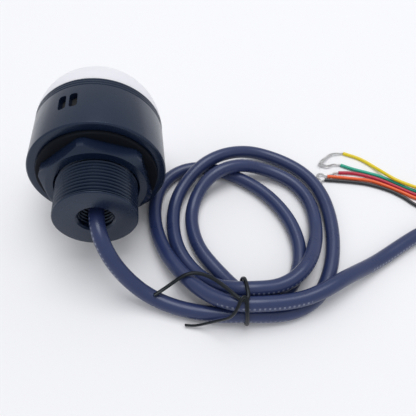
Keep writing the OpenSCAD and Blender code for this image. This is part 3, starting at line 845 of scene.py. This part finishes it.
class LIGHT_OT_nut(bpy.types.Operator):
    """Builds the lock nut and its gasket"""

    bl_idname = "status_light.nut"
    bl_label = "Lock Nut and Gasket"

    def execute(self, context):
        size = context.scene.light_sizes
        self.make_nut(context, size)
        low, high = gasket_low.y - FACE_Y, gasket_high.y - FACE_Y
        bore = STEM_R + 0.4 * MM
        edge = 0.35 * MM
        middle = (bore + GASKET_R) / 2
        outline = [
            (middle, low), (bore, low, edge), (bore, high, edge),
            (GASKET_R, high, edge), (GASKET_R, low, edge), (middle + 1 * MM, low),
        ]
        bm = turned(rounded(outline, 4), size.steps, closed=True)
        on_axis(bm)
        finished("nut_gasket", bm, "washer", nitrile(context), ["gasket"])
        return {"FINISHED"}

    def make_nut(self, context, size):
        """A turned blank with chamfered corners, cut by a hexagon."""
        low, high = nut_low.y - FACE_Y, nut_high.y - FACE_Y
        bore = STEM_R + 0.25 * MM
        flat = size.nut_flats / 2
        drop = (NUT_R - flat) * tan(radians(30))
        chamfer = 0.5 * MM
        outline = [
            (bore + 1.5 * MM, low), (flat - 0.3 * MM, low, 0.15 * MM),
            (NUT_R, low + drop, 0.15 * MM), (NUT_R, high, 0.15 * MM),
            (bore + chamfer, high, 0.1 * MM), (bore, high - chamfer, 0.1 * MM),
            (bore, low + chamfer, 0.1 * MM), (bore + chamfer, low, 0.1 * MM),
            (bore + 1.4 * MM, low),
        ]
        blank = turned(rounded(outline, 3), size.steps, closed=True)
        hexagon = bmesh.new()
        corner_r = flat / cos(pi / 6)
        bmesh.ops.create_cone(
            hexagon, cap_ends=True, segments=6, radius1=corner_r, radius2=corner_r,
            depth=4 * (high - low),
        )
        bmesh.ops.rotate(
            hexagon, cent=(0, 0, 0), verts=hexagon.verts,
            matrix=Matrix.Rotation(pi / 6, 3, "Z"),
        )
        first = next(iter(hexagon.verts)).co
        corner = atan2(first.y, first.x)
        bmesh.ops.transform(
            hexagon, matrix=around(size.nut_corner) @ Matrix.Rotation(-corner, 4, "Z"),
            verts=hexagon.verts,
        )
        bm = combined(blank, hexagon, "INTERSECT")
        on_axis(bm)
        finished("panel_nut", bm, "nut", abs_black(context), ["lock_nut"], 20)


class LIGHT_OT_cable(bpy.types.Operator):
    """Lays the cable and its five cores with their tinned strands"""

    bl_idname = "status_light.cable"
    bl_label = "Cable and Cores"

    def execute(self, context):
        size = context.scene.cable_sizes
        colours = context.scene.light_colours
        line = relaxed(through(CABLE, 1.5 * MM), 6)
        bm = bmesh.new()
        swept(bm, line, size.jacket, size.jacket, 24, mouth=size.jacket_wall)
        cable = finished(
            "cable_jacket", bm, "light", pvc_jacket(context),
            ["cable_lead", "cable_turn_1", "cable_turn_2", "cable_turn_3", "cable_tail"], 50,
        )
        tin = tinned_copper(context)
        for name, points in CORES.items():
            self.make_core(name, points, size, getattr(colours, name), tin)
        return {"FINISHED"}

    def make_core(self, name, points, size, colour, tin):
        line = relaxed(through(points, 0.8 * MM), 2)
        # These cores are 0.2 mm thinner than the CAD's, so they lie 0.1 mm lower.
        drop = Vector((0, 0, 0.1 * MM))
        line = [p - drop for p in line]
        bm = bmesh.new()
        swept(bm, line, size.core, size.core, 14, mouth=0.35 * MM)
        core = finished(
            "core_in_" + name, bm, "light", pvc_core("pvc_" + name, colour),
            ["core_" + name], 50,
        )
        tips = self.make_strands(name, line[-1], size, tin)

    def make_strands(self, name, start, size, tin):
        """A bundle of fine strands that starts in the core and frays towards its end."""
        chance = random.Random("strands " + name)
        inside = start / MM
        first = Vector(STRANDS[name][0])
        back = inside + (inside - first).normalized()
        route = [tuple(back), tuple(inside)] + STRANDS[name]
        middle = through(route, 0.5 * MM)
        frames = frames_along(middle, (0, 0, 1))
        bm = bmesh.new()
        packed = size.strand * 1.02
        lay = 5
        for k in range(size.strands):
            angle = 2 * pi * k / (size.strands - 1)
            radius = 0 if k == 0 else packed
            stray = Vector((chance.uniform(-1, 1), chance.uniform(-0.3, 0.8), 0)) * 0.9 * MM
            strand = []
            for i, place in enumerate(frames):
                share = i / (len(frames) - 1)
                twist = angle + lay * share
                offset = Vector((cos(twist), sin(twist), 0)) * radius + stray * share**2
                point = place @ offset
                point.z = max(point.z, size.strand / 2)
                strand.append(point)
            last = len(strand) - chance.randrange(0, 5)
            swept(bm, strand[:last], size.strand, size.strand, 6)
        return finished(
            "strands_of_" + name, bm, "light", tin,
            ["core_tips"] if name == "yellow" else [], 60,
        )


class LIGHT_OT_tie(bpy.types.Operator):
    """Ties the coil with a flat wire tie"""

    bl_idname = "status_light.tie"
    bl_label = "Wire Tie"

    def execute(self, context):
        size = context.scene.cable_sizes
        line = relaxed(through(TIE, 0.7 * MM), 2)
        bm = bmesh.new()
        swept(bm, line, size.tie_width, size.tie_thickness, 12)
        tie = moulded("pvc_covered_wire", context.scene.light_colours.tie, 0.3,
                      0.6 * MM, 0.02 * MM, sheen=(0.5, 0.57, 0.62))
        finished("wire_tie", bm, "light", tie, ["twist_tie"], 50)
        return {"FINISHED"}


class LIGHT_OT_inside(bpy.types.Operator):
    """Finishes the pieces inside the light"""

    bl_idname = "status_light.inside"
    bl_label = "Inside Pieces"

    def execute(self, context):
        rubber = bpy.data.materials["nitrile_rubber"]
        jacket = bpy.data.materials["extruded_pvc_jacket"]
        steel = zinc_steel()
        black = moulded("phenolic_black", linear("#1a1b1e"), 0.5, 0.4 * MM, 0.015 * MM)
        white = moulded("abs_white", linear("#efefec"), 0.4, 0.4 * MM, 0.01 * MM, 0.03)
        finishes = {
            "dome_seal": rubber,
            "cable_seal": rubber,
            "cable_clamp": black,
            "cable_inner": jacket,
            "reflector": white,
            "standoffs": white,
            "led_board": moulded("solder_resist_white", linear("#e8eae6"), 0.35,
                                 1 * MM, 0.01 * MM, 0.03),
            "driver_board": moulded("solder_resist_green", linear("#1f5a3c"), 0.3,
                                    1 * MM, 0.01 * MM, 0.1),
            "leds_red": moulded("epoxy_red", linear("#d7352f"), 0.2, 1 * MM, 0.005 * MM),
            "leds_yellow": moulded("epoxy_yellow", linear("#e6c22b"), 0.2, 1 * MM,
                                   0.005 * MM),
            "leds_green": moulded("epoxy_green", linear("#34a457"), 0.2, 1 * MM,
                                  0.005 * MM),
            "led_screws": steel,
            "board_screws": steel,
            "buzzer": black,
            "controller_chip": black,
            "board_header": black,
            "vent_screen": moulded("woven_polyester_screen", linear("#101114"), 0.8,
                                   0.25 * MM, 0.05 * MM, 0.4),
            "capacitors": moulded("sleeved_can", linear("#5a6472"), 0.35, 1 * MM,
                                  0.01 * MM),
            "wire_terminal": moulded("polyamide_green", linear("#3b7a4a"), 0.45,
                                     0.5 * MM, 0.01 * MM),
            "inner_leads": moulded("pvc_leads", linear("#33353b"), 0.35, 1 * MM,
                                   0.01 * MM),
        }
        for name, material in finishes.items():
            node = frame["nodes"][name]
            for slot in node.material_slots:
                slot.material = material
        return {"FINISHED"}


class LIGHT_OT_stage(bpy.types.Operator):
    """Sets the camera, the paper and the soft light"""

    bl_idname = "status_light.stage"
    bl_label = "Camera, Floor and Light"

    def execute(self, context):
        scene = context.scene
        self.make_camera(scene)
        self.make_floor(context)
        self.make_light(
            "overhead_softbox", place=(0.2, 0.3, 1.5), target=(0.05, -0.02, 0), side=1.0,
            power=11.5,
        )
        self.make_world(scene)
        scene.view_settings.view_transform = "Standard"
        return {"FINISHED"}

    def make_camera(self, scene):
        camera = bpy.data.cameras.new("camera")
        camera.lens = 37.06
        camera.sensor_width = 36
        camera.clip_start = 0.01
        obj = bpy.data.objects.new("camera", camera)
        obj.location = (29.17 * MM, -129.68 * MM, 147.87 * MM)
        down, to_right = 52.18, 6.58
        obj.rotation_euler = (radians(90 - down), 0, radians(-to_right))
        scene.collection.objects.link(obj)
        scene.camera = obj

    def make_floor(self, context):
        bm = bmesh.new()
        bmesh.ops.create_grid(bm, x_segments=1, y_segments=1, size=3)
        mesh = bpy.data.meshes.new("floor")
        bm.to_mesh(mesh)
        bm.free()
        obj = bpy.data.objects.new("floor", mesh)
        material, tree, shader, coords = opened("matt_paper")
        fibre = grain(tree, coords.outputs["Object"], 2 * MM, 3)
        tree.links.new(
            shader.inputs["Base Color"],
            two_tone(tree, fibre.outputs["Fac"], context.scene.light_colours.floor, 0.003),
        )
        shader.inputs["Roughness"].default_value = 0.75
        mesh.materials.append(material)
        context.scene.collection.objects.link(obj)

    def make_light(self, name, place, target, side, power):
        light = bpy.data.lights.new(name, "AREA")
        light.size = side
        light.energy = power
        obj = bpy.data.objects.new(name, light)
        obj.location = place
        aim = Vector(target) - Vector(place)
        obj.rotation_euler = aim.to_track_quat("-Z", "Y").to_euler()
        bpy.context.scene.collection.objects.link(obj)

    def make_world(self, scene):
        world = bpy.data.worlds.new("studio")
        world.use_nodes = True
        background = world.node_tree.nodes["Background"]
        background.inputs["Color"].default_value = (0.96, 0.97, 1.0, 1)
        background.inputs["Strength"].default_value = 0.66
        scene.world = world


class LIGHT_PT_panel(bpy.types.Panel):
    """Lists the pieces of the status light"""

    bl_idname = "LIGHT_PT_panel"
    bl_label = "Status Light"
    bl_space_type = "VIEW_3D"
    bl_region_type = "UI"
    bl_category = "Status Light"

    def draw(self, context):
        for operator in OPERATORS:
            self.layout.operator(operator.bl_idname)
        for group in (context.scene.light_sizes, context.scene.cable_sizes,
                      context.scene.light_colours):
            box = self.layout.box()
            for name in group.bl_rna.properties.keys():
                if name not in ("rna_type", "name"):
                    box.prop(group, name)


OPERATORS = (
    LIGHT_OT_stage, LIGHT_OT_cable, LIGHT_OT_tie, LIGHT_OT_body, LIGHT_OT_dome, LIGHT_OT_nut,
    LIGHT_OT_inside,
)
CLASSES = (LightSizes, CableSizes, LightColours, *OPERATORS, LIGHT_PT_panel)


def register():
    for cls in CLASSES:
        bpy.utils.register_class(cls)
    bpy.types.Scene.light_sizes = PointerProperty(type=LightSizes)
    bpy.types.Scene.cable_sizes = PointerProperty(type=CableSizes)
    bpy.types.Scene.light_colours = PointerProperty(type=LightColours)


def unregister():
    for name in ("light_sizes", "cable_sizes", "light_colours"):
        delattr(bpy.types.Scene, name)
    for cls in reversed(CLASSES):
        bpy.utils.unregister_class(cls)


def main():
    register()
    for operator in OPERATORS:
        getattr(bpy.ops.status_light, operator.bl_idname.split(".")[1])()


if __name__ == "__main__":
    main()
